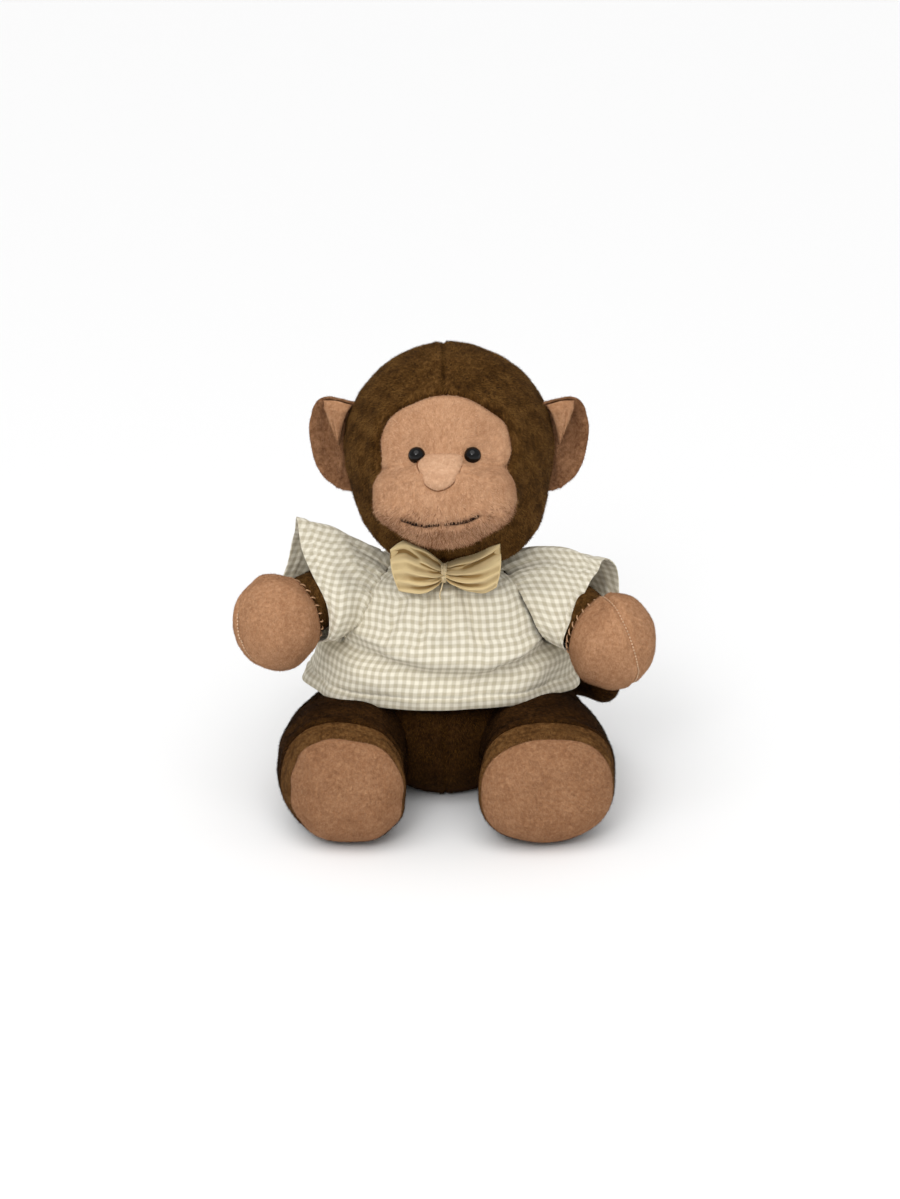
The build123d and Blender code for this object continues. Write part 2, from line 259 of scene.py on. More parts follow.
def blend_of(tree, major, minor):
    """Seven parts of one link to three of the other."""
    more, less = math_node(tree, "MULTIPLY", major, 0.7), math_node(tree, "MULTIPLY", minor, 0.3)
    return math_node(tree, "ADD", more, less)


def bump_from(tree, body, height, strength, distance):
    node = add(tree, "ShaderNodeBump", Strength=strength, Distance=distance)
    tree.links.new(height, node.inputs["Height"])
    tree.links.new(node.outputs["Normal"], body.inputs["Normal"])


def plush(name, dark, mid, light, stretch=(1, 1, 1), sheen=0.0):
    """Short pile: streaks along the nap, patches where it was brushed, and a fine bump."""
    mat, tree, body = shader(name, 0.95, sheen)
    place = tree.nodes.new("ShaderNodeTexCoord").outputs["Object"]
    streak = noise(tree, place, 520, 5.0, stretch)
    patch = noise(tree, place, 70, 3.0)
    stops = [(0.36, paint(*dark)), (0.5, paint(*mid)), (0.64, paint(*light))]
    colour = ramp(tree, blend_of(tree, streak, patch), stops)
    tree.links.new(colour, body.inputs["Base Color"])
    bump_from(tree, body, streak, 0.5, 0.0006)
    return mat


def plain(name, colour, rough=0.9, sheen=0.0):
    mat, _, body = shader(name, rough, sheen)
    body.inputs["Base Color"].default_value = paint(*colour)
    return mat


def hairs(name, dark, mid, light):
    """Three plain colours of hair for the pile."""
    return [plain(f"{name} hair dark", dark), plain(f"{name} hair", mid), plain(f"{name} hair light", light)]


def mottled(name, colour, rough, scale=900, depth=0.2):
    """A plain material with a little unevenness."""
    mat, tree, body = shader(name, rough)
    place = tree.nodes.new("ShaderNodeTexCoord").outputs["Object"]
    fac = noise(tree, place, scale)
    low = tuple(c * (1 - depth) for c in colour)
    tree.links.new(ramp(tree, fac, [(0.35, paint(*low)), (0.65, paint(*colour))]), body.inputs["Base Color"])
    bump_from(tree, body, fac, 0.3, 0.0002)
    return mat


def stripes(tree, coordinate, period):
    """Soft-edged stripes, 0 or 1, half the period each."""
    wave = add(tree, "ShaderNodeMath")
    wave.operation = "SINE"
    tree.links.new(math_node(tree, "MULTIPLY", coordinate, 2 * math.pi / period), wave.inputs[0])
    edge = add(tree, "ShaderNodeMapRange", From_Min=-0.45, From_Max=0.45)
    tree.links.new(wave.outputs[0], edge.inputs["Value"])
    return edge.outputs["Result"]


def gingham(name, light, dark, period):
    """Small check woven of two colours of yarn, in the cloth's own flat millimetres."""
    mat, tree, body = shader(name, 0.9, 0.15)
    source = tree.nodes.new("ShaderNodeUVMap")
    source.uv_map = "cloth"
    split = tree.nodes.new("ShaderNodeSeparateXYZ")
    tree.links.new(source.outputs["UV"], split.inputs[0])
    warp = stripes(tree, split.outputs["X"], period)
    weft = stripes(tree, split.outputs["Y"], period)
    woven = math_node(tree, "MULTIPLY", math_node(tree, "ADD", warp, weft), 0.5)
    slub = noise(tree, source.outputs["UV"], 0.9, 4.0)
    tint = add(tree, "ShaderNodeMapRange", To_Min=-0.16, To_Max=0.16)
    tree.links.new(slub, tint.inputs["Value"])
    middle = tuple((a + b) / 2 for a, b in zip(light, dark))
    stops = [(0.0, paint(*light)), (0.5, paint(*middle)), (1.0, paint(*dark))]
    shade = math_node(tree, "ADD", woven, tint.outputs["Result"])
    tree.links.new(ramp(tree, shade, stops), body.inputs["Base Color"])
    yarn = noise(tree, source.outputs["UV"], 3.0)
    bump_from(tree, body, yarn, 0.25, 0.0002)
    return mat


def cotton(name, light, dark):
    mat, tree, body = shader(name, 0.85, 0.1)
    place = tree.nodes.new("ShaderNodeTexCoord").outputs["Object"]
    fac = noise(tree, place, 160, 4.0)
    # Pointiness paints the crests lighter and the creases darker: painted light on the crests and painted
    # shade in the pleats, not a colour of the cotton.
    crease_shade = add(tree, "ShaderNodeMapRange", From_Min=0.47, From_Max=0.515)
    tree.links.new(tree.nodes.new("ShaderNodeNewGeometry").outputs["Pointiness"], crease_shade.inputs["Value"])
    stops = [(0.2, paint(*dark)), (0.65, paint(*light))]
    colour = ramp(tree, blend_of(tree, crease_shade.outputs["Result"], fac), stops)
    tree.links.new(colour, body.inputs["Base Color"])
    bump_from(tree, body, noise(tree, place, 2500, 2.0), 0.2, 0.0002)
    return mat


# ---------------------------------------------------------------- pile

def fibres(name, source, body, per_mm2, length, width, nap, paints, seed, lean=0.75, where=None, patchy=0.3):
    """Short hairs of pile over a mesh, each one a thin triangle that leans along the nap.
    paints are three plain materials from dark to light. where gives the share that stays."""
    mesh = source.data
    mesh.calc_loop_triangles()
    corners = np.empty(len(mesh.loop_triangles) * 3, int)
    mesh.loop_triangles.foreach_get("vertices", corners)
    corners = corners.reshape(-1, 3)
    points = np.empty(len(mesh.vertices) * 3)
    normals = np.empty(len(mesh.vertices) * 3)
    mesh.vertices.foreach_get("co", points)
    mesh.vertices.foreach_get("normal", normals)
    points, normals = points.reshape(-1, 3) / MM, normals.reshape(-1, 3)
    a, b, c = (points[corners[:, k]] for k in range(3))
    area = np.linalg.norm(np.cross(b - a, c - a), axis=1) / 2
    rng = np.random.default_rng(seed)
    count = int(min(area.sum() * per_mm2, 190000))
    pick = rng.choice(len(area), count, p=area / area.sum())
    r, s = np.sqrt(rng.random((count, 1))), rng.random((count, 1))
    weights = (1 - r, r * (1 - s), r * s)
    root = sum(w * points[corners[pick, k]] for k, w in enumerate(weights))
    normal = unit(sum(w * normals[corners[pick, k]] for k, w in enumerate(weights)))
    if where is not None:
        keep = rng.random(count) < where(root)
        root, normal = root[keep], normal[keep]
        count = len(root)
    flow = nap(root) + 0.35 * rng.normal(size=(count, 3))
    flow = unit(flow - normal * (flow * normal).sum(1, keepdims=True))
    direction = unit(normal * (1 - lean) + flow * lean + 0.12 * rng.normal(size=(count, 3)))
    side = unit(np.cross(direction, normal)) * width / 2
    tip = root + direction * (length * rng.uniform(0.6, 1.3, (count, 1)))
    base = root - normal * 0.15
    verts = np.stack([base - side, base + side, tip], 1).reshape(-1, 3) * MM
    made = bpy.data.meshes.new(name)
    made.vertices.add(count * 3)
    made.loops.add(count * 3)
    made.polygons.add(count)
    made.vertices.foreach_set("co", verts.astype(np.float32).ravel())
    made.loops.foreach_set("vertex_index", np.arange(count * 3, dtype=np.int32))
    made.polygons.foreach_set("loop_start", np.arange(0, count * 3, 3, dtype=np.int32))
    clump = ripple(root, 8.0, seed + 1) * patchy + rng.normal(size=count) * 0.55
    tone = np.digitize(clump, (-0.4, 0.45))
    for mat in paints:
        made.materials.append(mat)
    made.polygons.foreach_set("material_index", tone.astype(np.int32))
    made.polygons.foreach_set("use_smooth", np.ones(count, bool))
    made.update(calc_edges=True)
    shaded = unit(normal + 0.25 * direction)
    made.normals_split_custom_set_from_vertices(np.repeat(shaded, 3, axis=0).tolist())
    obj = bpy.data.objects.new(name, made)
    bpy.context.scene.collection.objects.link(obj)
    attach(obj, body)
    return obj


def dress(obj, body, material, nodes=()):
    """Give a piece its material and body, and hide the nodes it stands for."""
    obj.data.materials.append(material)
    if body:
        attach(obj, body)
    if nodes:
        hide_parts(*nodes)
    return obj


BROWN = plush("brown pile", (44, 27, 10), (76, 50, 22), (102, 72, 38), (1, 1, 0.35))
BROWN_HAIRS = hairs("brown", (50, 30, 8), (86, 57, 22), (120, 86, 44))
LEG_BROWN = plush("leg pile", (30, 16, 5), (50, 30, 12), (70, 45, 20), (1, 1, 1))
LEG_HAIRS = hairs("leg", (38, 20, 3), (60, 35, 9), (90, 60, 22))
INSTEP = plush("instep pile", (66, 42, 18), (96, 65, 34), (120, 86, 50))
INSTEP_HAIRS = hairs("instep", (72, 46, 22), (104, 71, 40), (132, 96, 58))
TAN = plush("face pile", (164, 120, 88), (182, 138, 104), (196, 152, 118), (1, 1, 0.5))
TAN_HAIRS = hairs("face", (166, 121, 89), (187, 143, 109), (210, 168, 134))
# Darker hairs for the tufts under the muzzle: painted shade where the muzzle faces down.
TUFT_SHADE_HAIRS = hairs("tuft shade", (126, 88, 62), (172, 128, 98), (206, 164, 130))
NOSE = plush("nose pile", (184, 142, 110), (198, 156, 124), (210, 170, 138))
NOSE_HAIRS = hairs("nose", (192, 150, 117), (204, 163, 130), (218, 180, 148))
HAND = plush("hand pile", (152, 108, 77), (170, 126, 92), (186, 142, 108))
HAND_HAIRS = hairs("hand", (158, 114, 82), (176, 132, 98), (198, 154, 118))
SOLE = plush("sole pile", (128, 88, 60), (148, 107, 76), (166, 125, 92))
SOLE_HAIRS = hairs("sole", (136, 96, 68), (154, 112, 82), (176, 134, 102))
EAR = plush("ear pile", (98, 64, 42), (128, 90, 62), (152, 112, 82))
EAR_HAIRS = hairs("ear", (112, 75, 50), (136, 96, 67), (162, 121, 90))
CHECK = gingham("gingham", (226, 220, 203), (182, 173, 150), 4.1)
# Bow cloth with painted shade in its creases and painted light on its crests.
BOW_CLOTH_PAINTED_SHADE = cotton("bow cotton painted crease shade", (212, 189, 142), (140, 112, 68))
CREAM = mottled("cream thread", (224, 204, 164), 0.8)
DARK = mottled("dark thread", (30, 16, 9), 0.8)
TAN_THREAD = mottled("tan thread", (200, 158, 122), 0.8)
# Pale thread for the hand seam: partly stitching, partly a painted highlight on the raised ridge.
PALE_SEAM_HIGHLIGHT = mottled("pale seam highlight", (222, 186, 152), 0.8)
# Dark thread for the nose pad's edge: painted shadow in the groove of the seam.
SEAM_SHADOW = mottled("seam shadow", (128, 86, 58), 0.9)
TAPE = mottled("closure tape", (228, 226, 216), 0.8, 1500)
WASHER = mottled("washer plastic", (226, 226, 220), 0.5, 200, 0.05)


def eye_material():
    mat, tree, body = shader("eye plastic", 0.05)
    body.inputs["Specular IOR Level"].default_value = 0.25
    place = tree.nodes.new("ShaderNodeTexCoord").outputs["Object"]
    fac = noise(tree, place, 60)
    tree.links.new(ramp(tree, fac, [(0.3, paint(2, 2, 2)), (0.7, paint(5, 4, 4))]), body.inputs["Base Color"])
    return mat


EYE = eye_material()


# ---------------------------------------------------------------- head

HEAD = np.array((2.0, 6.0, 180.0))
HEAD_R = 51.0
JAW = np.array((4.0, 4.0, 150.0))
JAW_R = np.array((43.5, 37.0, 30.5))
MUZZLE = np.array((0.0, -36.0, 167.5))
MUZZLE_R = 23.5
MUZZLE_REACH = 10.5
EYES = np.array(((-13.0, -43.2, 190.0), (13.0, -43.2, 190.0)))
FACE_EDGE = [(-1, -30, 216.3), (-17, -30, 211.8), (-26.5, -29, 204.5), (-30.5, -30, 196), (-31, -32, 188),
             (-30, -34, 180.5), (-32.6, -37, 175), (-33.6, -39, 167), (-29.6, -41, 159), (-20.5, -42, 151.6),
             (-12, -42, 147.6), (-4.5, -42, 145.6), (8, -42, 147.4), (20.6, -42, 153.6), (27.6, -41, 158.7),
             (33.4, -40, 166), (33.8, -39, 171), (31.5, -38, 177.5), (29.2, -37, 182), (31.6, -34, 188),
             (31.8, -33, 195), (29.2, -31, 202.3), (22, -31, 208), (11, -30, 213.6)]
CREASES = [[(-31, -33, 180.5), (-25, -38, 182.5), (-18, -43, 185), (-12.5, -46, 188)],
           [(31, -36, 182), (24, -40, 183.6), (16, -44, 185.6), (9, -47, 188.5)]]
MOUTH = [[(-18.8, -53, 163.9), (-14, -55, 162.2), (-8, -56, 161.2), (-2.2, -57, 161.8)],
         [(-0.2, -57, 161.8), (5, -57, 162.3), (10, -56.5, 163.6), (15, -55.5, 166.2)]]
NOSE_RISE = 3.8
NOSE_EDGE = [(-9.8, 191.2), (-2, 191.9), (6.4, 191.6), (8.4, 188.4), (6, 183), (2.8, 179.2), (-2.4, 177.4),
             (-7.3, 179.4), (-10, 183.2), (-12.4, 187.6)]


def smooth_min(a, b, k):
    h = np.clip(0.5 + 0.5 * (b - a) / k, 0, 1)
    return b + (a - b) * h - k * h * (1 - h)


def head_distance(p):
    """Roughly how far a point is outside the head, in mm."""
    skull = np.linalg.norm(p - HEAD, axis=-1) - HEAD_R
    jaw = (np.linalg.norm((p - JAW) / JAW_R, axis=-1) - 1) * JAW_R.min()
    q = p - MUZZLE
    reach = MUZZLE_REACH * (0.25 + 0.75 * smooth(p[..., 2], 147, 168))
    q = np.stack([np.maximum(np.abs(q[..., 0]) - reach, 0), q[..., 1], q[..., 2]], -1)
    snout = np.linalg.norm(q, axis=-1) - MUZZLE_R
    return smooth_min(smooth_min(skull, jaw, 10.0), snout, 5.0)


def head_point(direction):
    """Where a ray from the middle of the head leaves it."""
    low = np.full(direction.shape[:-1], 20.0)
    high = np.full(direction.shape[:-1], 95.0)
    for _ in range(30):
        middle = (low + high) / 2
        inside = head_distance(HEAD + direction * middle[..., None]) < 0
        low, high = np.where(inside, middle, low), np.where(inside, high, middle)
    return HEAD + direction * low[..., None]


def head_angles(points):
    """Polar angle from straight ahead, and the turn about that axis."""
    d = unit(np.asarray(points, float) - HEAD)
    return np.arccos(-d[..., 1]), np.arctan2(d[..., 2], d[..., 0])


def head_direction(polar, turn):
    return np.stack([np.sin(polar) * np.cos(turn), -np.cos(polar), np.sin(polar) * np.sin(turn)], -1)


def face_limit(turn):
    polar, around = head_angles(spline(FACE_EDGE, np.linspace(0, 1, 600, endpoint=False), closed=True))
    order = np.argsort(around)
    return np.interp(turn, around[order], polar[order], period=2 * math.pi)


def on_head(points):
    return head_point(unit(np.asarray(points, float) - HEAD))


def head_features(p, polar, turn):
    """Height in mm that seams, creases and soft swellings add to the head."""
    gap = (polar - face_limit(turn)) * 52.0
    high = -2.0 * bump(gap, 1.3)
    face = gap < 0
    high += np.where(face, 1.0 * bump(gap + 6, 4.5), 0.9 * bump(gap - 5, 4.0))
    for line in CREASES:
        away = line_distance(p, on_head(spline(line, np.linspace(0, 1, 12))))
        high -= np.where(face, 2.2 * bump(away, 2.2), 0)
        high += np.where(face & (p[..., 2] < 184), 1.6 * bump(away - 6.5, 4.0), 0)
    for line in MOUTH:
        away = line_distance(p, on_head(spline(line, np.linspace(0, 1, 12))))
        high -= 1.0 * bump(away, 1.0)
        high += 0.5 * bump(away - 3.2, 2.0)
    for side in (-1, 1):
        cheek = on_head(np.array((side * 24.0, -45, 167)))
        high += 2.2 * bump(np.linalg.norm(p - cheek, axis=-1), 9)
        eye = on_head(EYES[(side + 1) // 2])
        high -= 1.2 * bump(np.linalg.norm(p - eye, axis=-1), 5.0)
    high += np.where(face, 0.6 * bump(p[..., 0] + 1, 2.2) * smooth(p[..., 2], 196, 204), 0)
    middle = p[..., 0] + 1.0
    seam_highlight = (0.5 * np.sign(-middle) - 1.2) * bump(middle, 0.9) + 0.35 * bump(np.abs(middle) - 3, 2)
    high += np.where(face, 0, seam_highlight)
    return high + 0.35 * ripple(p, 13, 5)


def head_surface(polar, turn):
    direction = head_direction(polar, turn)
    p = head_point(direction)
    return p + direction * head_features(p, polar, turn)[..., None]


def nose_patch(rows, cols, rise):
    """The nose pad: its outline filled with rings and raised from the muzzle."""
    t = np.linspace(0, 1, cols, endpoint=False)
    edge = spline(NOSE_EDGE, t, closed=True)
    middle = np.array((-2.0, 185.6))
    share = np.linspace(0.02, 1, rows)[:, None, None]
    flat = middle + share * (edge - middle)
    base = on_head(np.stack([flat[..., 0], np.full(flat.shape[:2], -47.0), flat[..., 1]], -1))
    out = unit(base - HEAD)
    crown = rise * (1 - share[..., 0] ** 2.4) ** 0.7 - 0.6
    slope = 1.1 * smooth(flat[..., 1], 192, 176) * (1 - share[..., 0] ** 2)
    return base + out * (crown + slope)[..., None]


def head_nap(p):
    """Brushed down the sides and back from the face."""
    away = np.stack([p[:, 0] * 0.4, np.full(len(p), 12.0), np.full(len(p), -26.0)], 1)
    return unit(away)


def face_nap(p):
    outwards = np.stack([(p[:, 0] + 1) * 0.4, np.zeros(len(p)), np.where(p[:, 2] > 186, 4.0, -10.0)], 1)
    return unit(outwards + np.array((0, 0.5, 0)))


def build_head():
    cols = 320
    turn = np.linspace(-math.pi, math.pi, cols, endpoint=False)
    limit = face_limit(turn)
    share = np.linspace(0.012, 1, 90)[:, None] ** 0.9
    grid = head_surface(share * limit, np.tile(turn, (90, 1)))
    face = grid_object("face_plush", grid, wrap=True, tip_first=True)
    dress(face, "head", TAN, ["face_panel", "muzzle_panel"])
    share = (np.linspace(0, 1, 120)[:, None]) ** 1.25
    polar = limit + (math.pi - 0.02 - limit) * share
    skin = grid_object("head_plush", head_surface(polar, np.tile(turn, (120, 1))), wrap=True, tip_last=True)
    dress(skin, "head", BROWN, ["head_skin_left", "head_skin_right", "head_stuffing"])
    nose = grid_object("nose_plush", nose_patch(16, 90, NOSE_RISE), wrap=True, tip_first=True)
    dress(nose, "head", NOSE, ["nose_pad"])
    # A dark thread round the lower edge of the nose pad: painted shadow in the seam's groove.
    edge = nose_patch(16, 90, NOSE_RISE)[-1]
    thread = tube_object("nose_seam_shadow", [edge[30:86] + unit(edge - HEAD).mean(0) * 0.3], 0.45)
    dress(thread, "head", SEAM_SHADOW)
    strokes = []
    for line in MOUTH:
        points = on_head(spline(line, np.linspace(0, 1, 30)))
        points = points + unit(points - HEAD) * 0.15
        for k in range(0, 25, 4):
            strokes.append(points[k:k + 6] + np.array((0, 0, 0.15 * (k % 8 > 3))))
    mouth = tube_object("mouth_thread", strokes, 0.78, 8)
    dress(mouth, "head", DARK, ["mouth_stitching"])
    fibres("head_pile", skin, "head", 4.2, 1.9, 0.22, head_nap, BROWN_HAIRS, 11, patchy=0.42)

    def face_share(p):
        lines = (on_head(spline(line, np.linspace(0, 1, 12))) for line in MOUTH)
        mouth_gap = np.minimum(*(line_distance(p, line) for line in lines))
        eye_gap = np.minimum(*(np.linalg.norm(p - on_head(e), axis=-1) for e in EYES))
        return np.where(eye_gap < 3.3, 0, np.where(mouth_gap < 0.6, 0.25, 1.0))

    fibres("face_pile", face, "head", 6.0, 1.5, 0.2, face_nap, TAN_HAIRS, 12, 0.8, face_share)

    # Longer, darker tufts low on the muzzle: the longer pile is real, the darker hair is painted shade where
    # the muzzle faces down.
    def low_muzzle_shade(p):
        return smooth(p[:, 2], 172, 160) * smooth(p[:, 1], -30, -40)

    fibres("muzzle_shade_tufts", face, "head", 2.6, 3.0, 0.32, face_nap, TUFT_SHADE_HAIRS, 13, 0.7, low_muzzle_shade)
    fibres("nose_pile", nose, "head", 7.0, 1.0, 0.18, face_nap, NOSE_HAIRS, 14)
    for name in ("left", "right"):
        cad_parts[f"eye_{name}"].data.materials.clear()
        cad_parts[f"eye_{name}"].data.materials.append(EYE)


# ---------------------------------------------------------------- ears

EAR_EDGE = [(-5, -24), (1, -24.2), (7.6, -22.6), (13.8, -18.4), (18, -11.4), (20, -2.5), (20.6, 6), (19, 14),
            (15.4, 20), (10, 22.2), (4, 21.8), (-5, 20.4)]
EAR_SWEEP = math.radians(22)


def ear_place(side, outward, forward, up):
    """From the ear's own directions to the model's."""
    x = 2 + side * 49 + side * (outward * math.cos(EAR_SWEEP) + forward * math.sin(EAR_SWEEP))
    y = 5 + outward * math.sin(EAR_SWEEP) - forward * math.cos(EAR_SWEEP)
    return np.stack([x, y, 183 + up], -1)


def ear_shell(side):
    """Bowl, rolled rim and back, as one closed skin."""
    edge = spline(EAR_EDGE, np.linspace(0, 1, 90))
    root = np.stack([np.full(90, -6.0), edge[:, 1] * 0.25], 1)
    front = np.linspace(0, 0.9, 26)
    roll = np.linspace(0, math.pi, 9)[1:-1]
    share = np.concatenate([front, 0.9 + 0.1 * np.sin(roll), front[::-1]])
    lift = np.concatenate([np.full(26, 1.0), np.cos(roll), np.full(26, -1.0)])
    flat = root[:, None] + share[None, :, None] * (edge - root)[:, None]
    out, up = flat[..., 0], flat[..., 1]
    cup = -8.5 * (1 - share ** 2.4) * np.ones_like(out)
    thick = 2.4 - 0.7 * share
    forward = cup + lift * thick + 1.2
    inner = (lift > 0.5)
    forward += np.where(inner, 1.8 * bump(out - 5.4, 1.2) * smooth(up, 4, 0), 0)
    forward += np.where(inner, -0.8 * bump(share - 0.74, 0.06), 0)
    return ear_place(side, out, forward + 0.3 * ripple(np.stack([out, up], -1), 7, 31), up)


def ear_flap(side):
    """The top of the ear, folded forwards and down to a point."""
    across = np.linspace(0, 1, 36)[:, None]
    down = np.linspace(0, 1, 24)
    loop = np.concatenate([down, down[::-1][1:]])[None, :]
    under = np.concatenate([np.zeros(24), np.ones(23)])[None, :]
    top_out, top_up = 12.5 - 15.5 * across, 20.2 + 1.2 * np.sin(math.pi * across) - 0.8 * across
    left_out, left_up = 12.5 - 8.6 * loop ** 0.9, 20.2 - 21.4 * loop
    right_out, right_up = -3.0 + 7.0 * loop ** 0.7, 19.4 - 20.6 * loop
    out = left_out * (1 - across) + right_out * across
    out = out + (top_out - (12.5 * (1 - across) - 3.0 * across)) * (1 - loop)
    up = left_up * (1 - across) + right_up * across
    up = up + (top_up - (20.2 * (1 - across) + 19.4 * across)) * (1 - loop)
    edge = np.minimum(across, 1 - across) * 2
    puff = 1.7 * np.sqrt(np.clip(edge * 2.2, 0, 1)) * np.sqrt(np.clip((1 - loop) * 6, 0, 1))
    roof = 1.6 + 2.4 * smooth(loop, 0, 0.18) - 1.4 * smooth(loop, 0.4, 1.0)
    groove = 0.7 * bump(across - 0.32, 0.07) * smooth(loop, 0.1, 0.3)
    forward = roof + np.where(under > 0, -puff - 0.4, puff - groove)
    return ear_place(side, out, forward, up)


def build_ear(name, side):
    shell = grid_object(f"ear_{name}_cup", ear_shell(side), wrap=False)
    flap = grid_object(f"ear_{name}_fold", ear_flap(side), wrap=False)
    dress(shell, f"ear_{name}", EAR, [f"ear_{name}_front", f"ear_{name}_back"])
    dress(flap, f"ear_{name}", HAND)

    def nap(p):
        return unit(np.stack([side * np.ones(len(p)) * 0.2, np.zeros(len(p)), -np.ones(len(p))], 1))

    fibres(f"ear_{name}_pile", shell, f"ear_{name}", 6.0, 1.2, 0.18, nap, EAR_HAIRS, 40 + side)
    fibres(f"ear_{name}_fold_pile", flap, f"ear_{name}", 7.0, 1.1, 0.18, nap, HAND_HAIRS, 44 + side)


# ---------------------------------------------------------------- limbs

SHOULDER = (41, 12, 113)
HANDS = {"left": (-81.5, -30, 102), "right": (81.5, -30, 92)}
HIP = (42, -2, 29)
FOOT = (47, -52, 30.5)
CUFF = 15.0
HAND_R = 21.7
HAND_STRETCH = {"left": (1.08, 0.95), "right": (1.13, 0.95)}
HAND_SEAMS = {"left": ((0.775, -0.561, 0.293), -6.5), "right": ((0.914, 0.321, 0.248), 2.3)}


def limb_frame(side, start, end):
    """frame_along for a limb whose two ends are given for the right side."""
    mirror = np.array((side, 1, 1))
    return frame_along(mirror * start, mirror * end)


def smooth_max(a, b, k):
    return -smooth_min(-a, -b, k)


def around(origin, axes, stations, radius, cols, stretch=(1.0, 1.0)):
    """Rings about an axis. radius is a grid of rows by columns."""
    turn = turns(cols)
    x = radius * np.cos(turn) * stretch[0]
    y = radius * np.sin(turn) * stretch[1]
    z = np.broadcast_to(stations[:, None], x.shape)
    return origin + np.stack([x, y, z], -1) @ axes


def skin_places(s, turn, radius):
    """Station and place round the axis of each point of a round skin."""
    s, turn = np.broadcast_arrays(s[:, None], turn)
    return np.stack([s, radius * np.cos(turn), radius * np.sin(turn)], -1)


def arm_radius(s, reach):
    root = np.sqrt(np.clip(12.0 ** 2 - np.minimum(s, 0) ** 2, 0, None))
    run = 12.0 + 2.4 * smooth(s, 6, 24)
    hand = np.sqrt(np.clip(HAND_R ** 2 - (s - reach) ** 2, 0, None))
    arm = np.where(s < 0, root, run)
    return np.where(s > reach + 4, hand, np.where(s < 0, arm, smooth_max(arm, hand, 3.0)))


def seam_stitches(grid, gap, middle):
    """Short stitches where a surface crosses the plane in which gap is nought."""
    rows, cols = np.nonzero(gap[:-1] * gap[1:] < 0)
    share = (gap[rows, cols] / (gap[rows, cols] - gap[rows + 1, cols]))[:, None]
    points = grid[rows, cols] * (1 - share) + grid[rows + 1, cols] * share
    out = unit(points - middle)
    mean = unit(out.mean(0))
    across = unit(np.cross(mean, unit(points[0] - points.mean(0))))
    along = np.cross(across, mean)
    order = np.argsort(np.arctan2(out @ along, out @ mean))
    line = (points + out * 0.45)[order]
    steps = np.concatenate([[0], np.cumsum(np.linalg.norm(np.diff(line, axis=0), axis=1))])
    even = np.arange(0, steps[-1], 0.55)
    line = np.stack([np.interp(even, steps, line[:, k]) for k in range(3)], 1)
    return [line[k:k + 3] for k in range(1, len(line) - 3, 3)]


def build_arm(name, side):
    body = f"arm_{name}"
    origin, axes, reach = frame_along((side * SHOULDER[0], SHOULDER[1], SHOULDER[2]), HANDS[name])
    cols = 120
    turn = turns(cols)
    cuff = reach - CUFF
    s = np.linspace(-11.9, cuff, 60)
    base = arm_radius(s, reach)[:, None] - 1.6 * bump(s - cuff, 1.8)[:, None] + 0 * turn
    base = base + 0.35 * ripple(skin_places(s, turn, 15)[..., :2], 12, 61)
    arm = grid_object(f"arm_{name}_plush", around(origin, axes, s, base, cols), wrap=True, tip_first=True)
    dress(arm, body, BROWN, [f"arm_{name}_skin"])

    s = cuff + (reach + HAND_R - cuff) * np.sin(np.linspace(0, math.pi / 2, 70))
    hand = arm_radius(s, reach)[:, None] - 1.6 * bump(s - cuff, 1.8)[:, None] + 0 * turn
    normal, offset = HAND_SEAMS[name]
    middle = np.array(HANDS[name])
    plain_hand = around(origin, axes, s, hand, cols, HAND_STRETCH[name])
    gap = (plain_hand - middle) @ np.array(normal) - offset
    hand = hand - 1.3 * bump(gap, 1.0) + 0.6 * bump(np.abs(gap) - 3.0, 1.8)
    hand = hand + 0.5 * ripple(skin_places(s, turn, 20), 14, 65 + side)
    hand[-1] = 0.4
    grid = around(origin, axes, s, np.maximum(hand, 0.4), cols, HAND_STRETCH[name])
    tan = grid_object(f"hand_{name}_plush", grid, wrap=True, tip_last=True)
    dress(tan, body, HAND, [f"hand_{name}_palm", f"hand_{name}_back", f"arm_{name}_stuffing"])

    stitches = []
    for k in range(26):
        angle = 2 * math.pi * k / 26
        ends = []
        for t in np.linspace(0, 1, 6):
            along = cuff - 0.9 + 3.6 * t
            r = arm_radius(np.array([along]), reach)[0] + 0.25 + 0.55 * math.sin(math.pi * t)
            r = r - 0.5 * (t in (0, 1))
            a = angle + 0.09 * t
            ends.append(origin + np.array((r * math.cos(a) * 1.03, r * math.sin(a) * 0.99, along)) @ axes)
        stitches.append(ends)
    thread = tube_object(f"wrist_{name}_thread", stitches, 0.36, 6)
    dress(thread, body, TAN_THREAD, [f"wrist_{name}_stitches"])

    # A pale thread along the hand seam, much lighter than the hand: partly the stitching, partly a painted
    # highlight on the raised ridge.
    seam_highlight = tube_object(f"hand_{name}_seam", seam_stitches(grid, gap, middle), 0.5, 6)
    dress(seam_highlight, body, PALE_SEAM_HIGHLIGHT)

    def arm_nap(p):
        return np.tile(axes[2], (len(p), 1))

    def hand_nap(p):
        return unit(np.tile((0, 0, -1.0), (len(p), 1)) + 0.4 * axes[2])

    fibres(f"arm_{name}_pile", arm, body, 4.0, 1.7, 0.2, arm_nap, BROWN_HAIRS, 50 + side,
           where=lambda p: smooth((p - origin) @ axes[2], 14, 18))
    fibres(f"hand_{name}_pile", tan, body, 6.0, 1.2, 0.18, hand_nap, HAND_HAIRS, 54 + side,
           where=lambda p: np.abs((p - middle) @ np.array(normal) - offset) > 0.9)


LEG_END = 79.0
LEG_ALONG = (0, 20, 40, 55, 66)
LEG_OUT = {-1: (33, 37.5, 37, 32.5, 25.5), 1: (32, 35.5, 36.5, 35.5, 32.5)}
LEG_IN = {-1: (25, 25.5, 26, 28, 29.5), 1: (25, 26, 28, 30.5, 32.0)}
LEG_UP = (29, 31, 31.5, 30, 26.5)
LEG_DOWN = (29, 30, 30.5, 30.5, 27.5)


